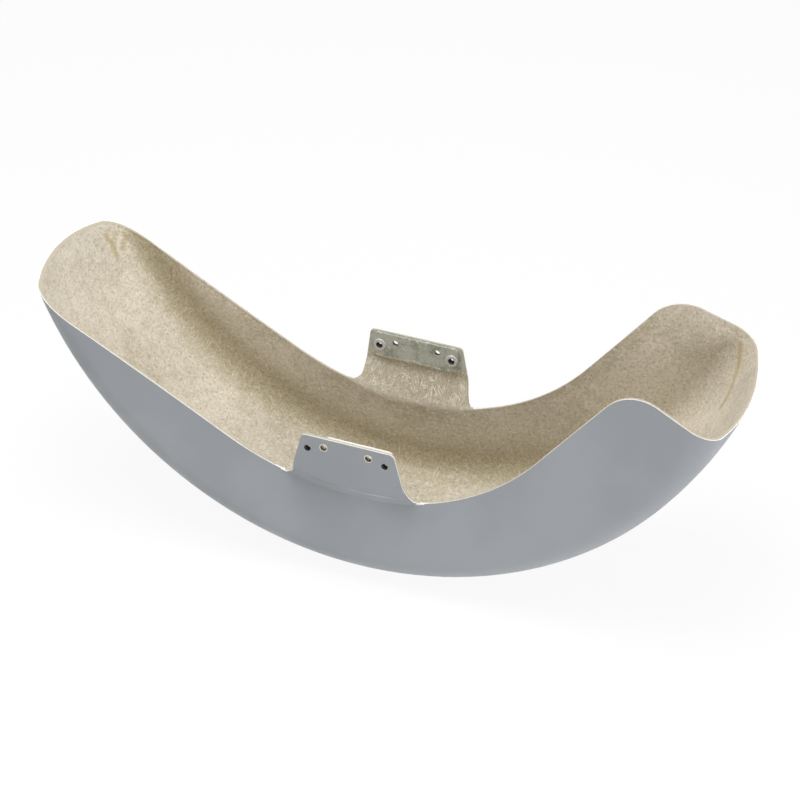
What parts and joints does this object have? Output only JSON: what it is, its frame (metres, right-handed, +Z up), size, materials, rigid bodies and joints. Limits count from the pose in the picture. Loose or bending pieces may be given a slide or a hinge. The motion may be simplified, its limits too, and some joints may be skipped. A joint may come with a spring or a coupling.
{
  "type": "motorcycle front fender",
  "caption": "Moulded glass-fibre motorcycle front fender lying on its crown, bare laminate inside, with two drilled mounting tabs and threaded metal inserts",
  "frame": {"origin": "on the floor, below the middle of the fender's length and width", "axes": "+X along the fender to its deep rear end, +Y across it to the left tab, +Z up out of the open side"},
  "size_m": [0.6784, 0.1994, 0.2593],
  "materials": {
    "laminate": "grey primer gelcoat outside, bare chopped-strand laminate inside",
    "plate_steel": "flat strip under a film of resin",
    "insert_steel": "bright zinc plated"
  },
  "bodies": {
    "root": {"fender_shell": "laminate", "tab_plate_left": "plate_steel", "tab_plate_right": "plate_steel", "threaded_inserts": "insert_steel"}
  },
  "joints": []
}
